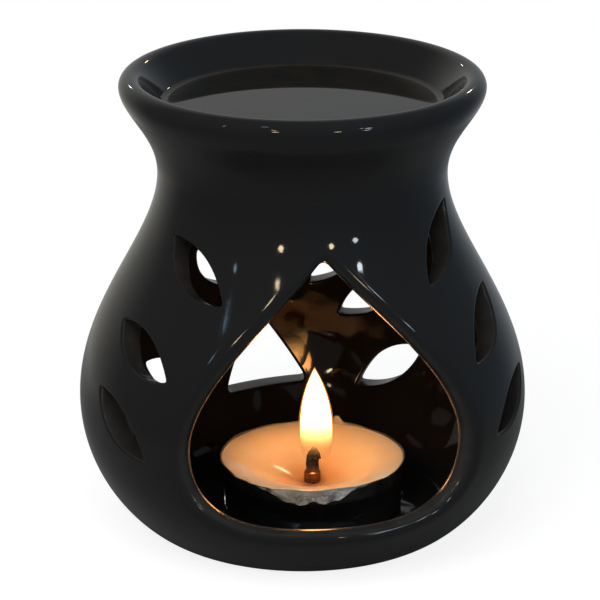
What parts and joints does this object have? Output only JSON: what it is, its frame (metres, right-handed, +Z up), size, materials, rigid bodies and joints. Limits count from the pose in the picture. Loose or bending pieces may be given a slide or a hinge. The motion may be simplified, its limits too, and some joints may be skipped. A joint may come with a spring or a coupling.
{
  "type": "essential oil burner",
  "caption": "Black glazed ceramic oil burner: round-bellied pot with a candle arch and leaf cuts, a dish in its flared neck for water and oil, and a tea light that lifts out.",
  "frame": {"origin": "centre of the flat foot, on the surface the burner stands on", "axes": "+Z up along the pot's axis, -Y towards the middle of the arch, +X to the right as seen facing the arch"},
  "size_m": [0.0916, 0.0882, 0.095],
  "materials": {
    "black_glaze": "gloss",
    "foil": "polished",
    "wax": "satin",
    "cotton": "matte",
    "tinned_steel": "satin"
  },
  "bodies": {
    "burner": {"pot": "black_glaze", "oil_dish": "black_glaze"},
    "tealight": {"tealight_cup": "foil", "tealight_wax": "wax", "wick": "cotton", "wick_sustainer": "tinned_steel"}
  },
  "joints": [
    {"name": "tealight_out", "type": "slide", "parent": "burner", "child": "tealight", "axis": [0, -0.7986, 0.6018], "range_m": [0, 0.078]}
  ]
}
